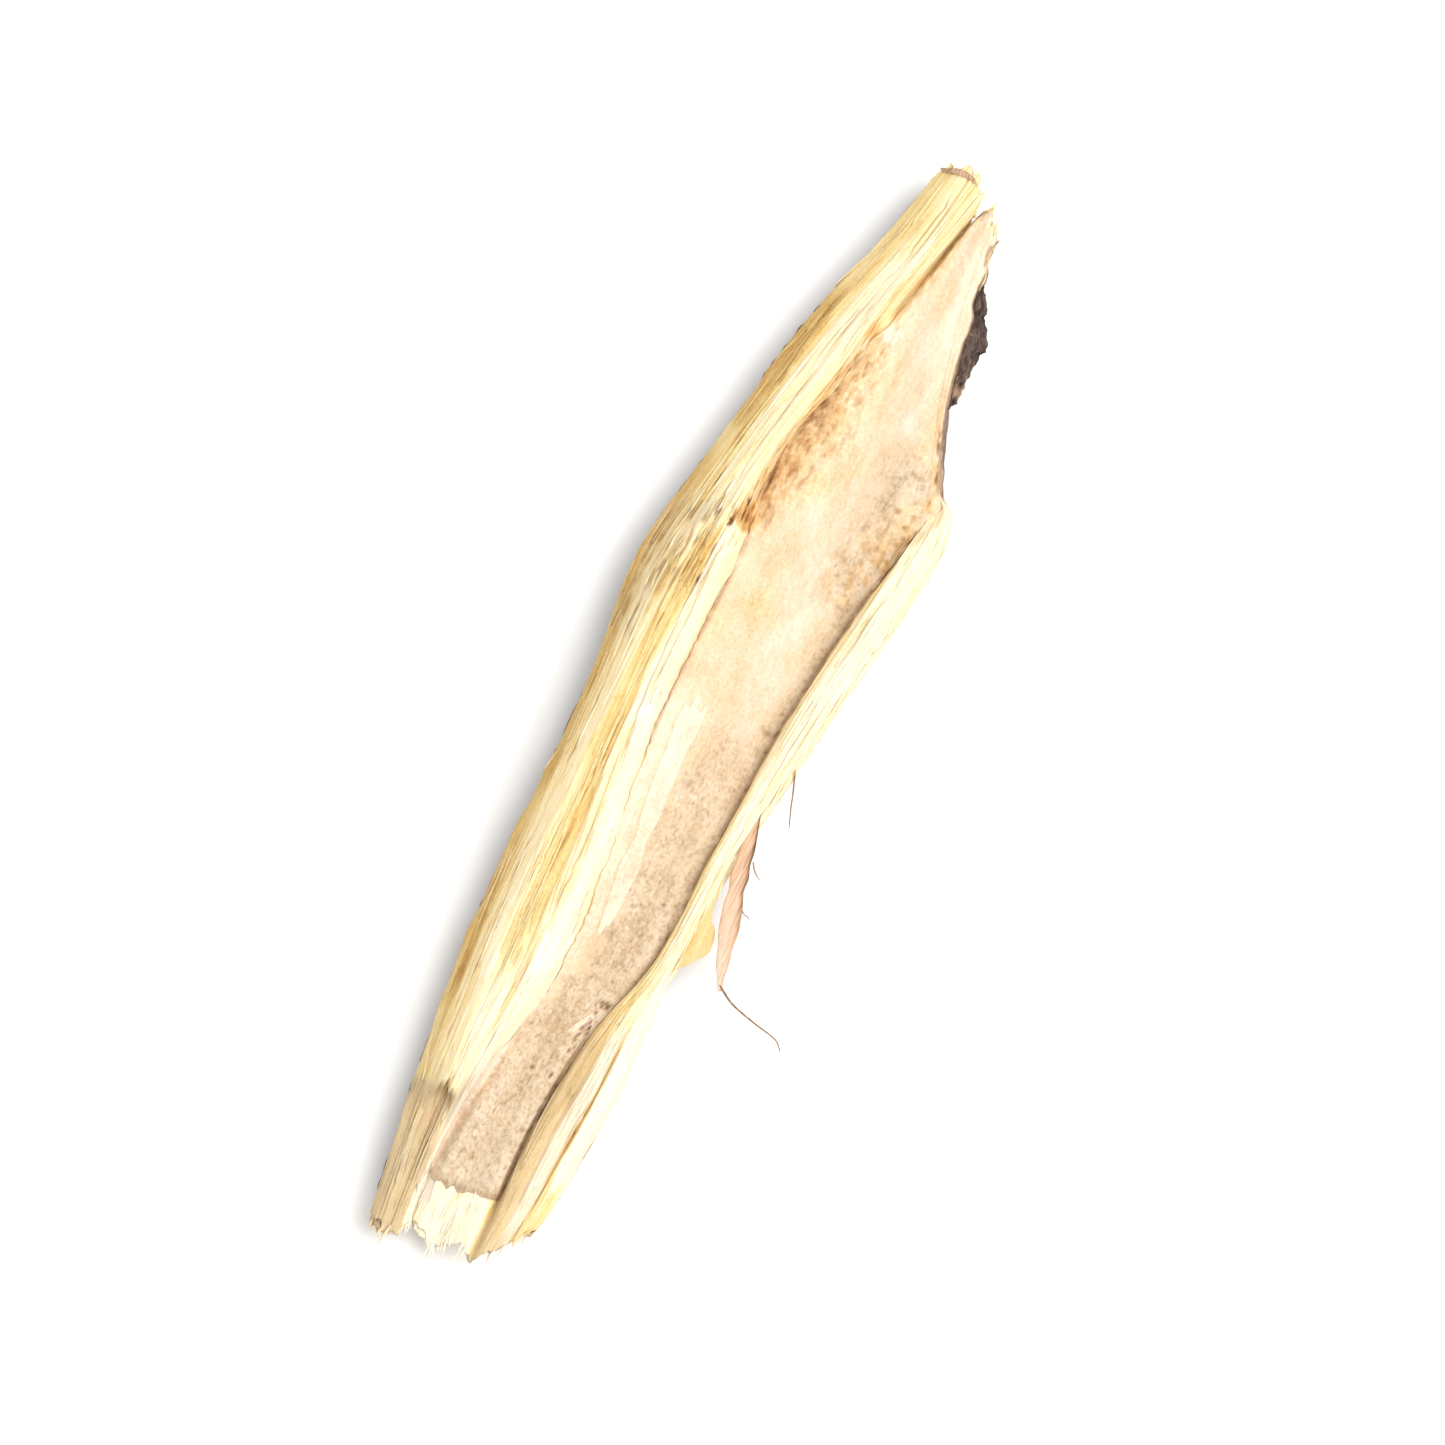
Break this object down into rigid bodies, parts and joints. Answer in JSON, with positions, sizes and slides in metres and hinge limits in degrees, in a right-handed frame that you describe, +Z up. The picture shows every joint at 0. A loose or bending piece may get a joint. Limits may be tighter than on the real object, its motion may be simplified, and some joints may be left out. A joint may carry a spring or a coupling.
{
  "type": "siberian ginseng root chip",
  "caption": "Dried chip of root, split lengthwise: a thick and a thin wall of pale wood with a soft pith channel between them, torn ends, a round back and a peeled strip of bark.",
  "frame": {"origin": "on the flat spot that the chip rests on, under its centre of mass", "axes": "+X along the chip towards its upper tip, +Y across it towards its thick wall, +Z up from its round back"},
  "size_m": [0.0313, 0.0086, 0.0033],
  "materials": {
    "root_wood": "dry, split along the grain, matt"
  },
  "bodies": {
    "root": {"root_chip": "root_wood"}
  },
  "joints": []
}
